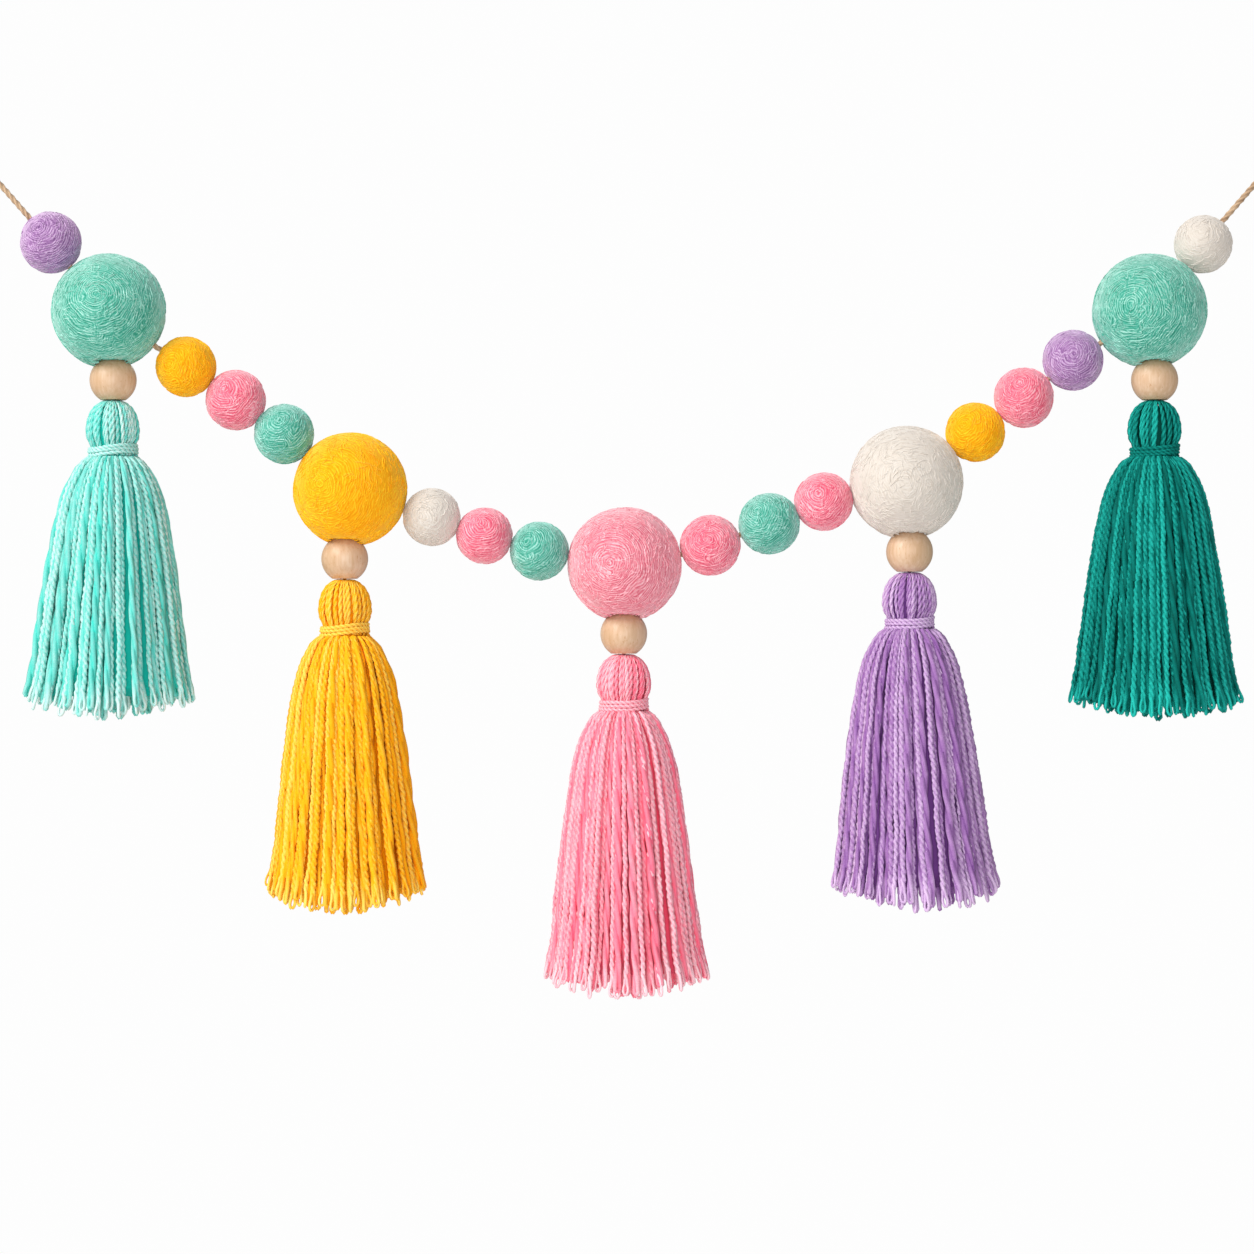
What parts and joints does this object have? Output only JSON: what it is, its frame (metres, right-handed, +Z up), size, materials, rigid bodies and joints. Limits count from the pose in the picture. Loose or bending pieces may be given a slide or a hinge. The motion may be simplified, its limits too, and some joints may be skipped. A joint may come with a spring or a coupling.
{
  "type": "pom pom garland",
  "caption": "Felt ball garland on jute twine, with a wooden bead and a yarn tassel under each large ball, hung in a shallow curve by a loop at each end.",
  "frame": {"origin": "the point where the left hanging loop bears on its nail", "axes": "+X along the garland from its left end to its right end, +Y away from the viewer and towards the wall, +Z up"},
  "size_m": [0.4682, 0.0573, 0.2995],
  "materials": {
    "lilac_felt": "matte wool felt",
    "mint_felt": "matte wool felt",
    "yellow_felt": "matte wool felt",
    "pink_felt": "matte wool felt",
    "rose_felt": "matte wool felt",
    "teal_felt": "matte wool felt",
    "white_felt": "matte wool felt",
    "mint_yarn": "twisted yarn",
    "yellow_yarn": "twisted yarn",
    "pink_yarn": "twisted yarn",
    "purple_yarn": "twisted yarn",
    "green_yarn": "twisted yarn",
    "beech": "satin",
    "jute": "twisted plant fibre"
  },
  "bodies": {
    "root": {"ball_01_lilac": "lilac_felt", "ball_02_mint_large": "mint_felt", "ball_03_yellow": "yellow_felt", "ball_04_pink": "pink_felt", "ball_05_teal": "teal_felt", "ball_06_yellow_large": "yellow_felt", "ball_07_white": "white_felt", "ball_08_pink": "pink_felt", "ball_09_teal": "teal_felt", "ball_10_rose_large": "rose_felt", "ball_11_pink": "pink_felt", "ball_12_teal": "teal_felt", "ball_13_pink": "pink_felt", "ball_14_white_large": "white_felt", "ball_15_yellow": "yellow_felt", "ball_16_pink": "pink_felt", "ball_17_lilac": "lilac_felt", "ball_18_mint_large": "mint_felt", "ball_19_white": "white_felt", "bead_1_mint": "beech", "tie_1_mint": "mint_yarn", "tassel_1_mint": "mint_yarn", "wrap_1_mint": "mint_yarn", "bead_2_yellow": "beech", "tie_2_yellow": "yellow_yarn", "tassel_2_yellow": "yellow_yarn", "wrap_2_yellow": "yellow_yarn", "bead_3_pink": "beech", "tie_3_pink": "pink_yarn", "tassel_3_pink": "pink_yarn", "wrap_3_pink": "pink_yarn", "bead_4_purple": "beech", "tie_4_purple": "purple_yarn", "tassel_4_purple": "purple_yarn", "wrap_4_purple": "purple_yarn", "bead_5_green": "beech", "tie_5_green": "green_yarn", "tassel_5_green": "green_yarn", "wrap_5_green": "green_yarn", "twine": "jute", "hanging_loop_left": "jute", "hanging_loop_right": "jute"}
  },
  "joints": []
}
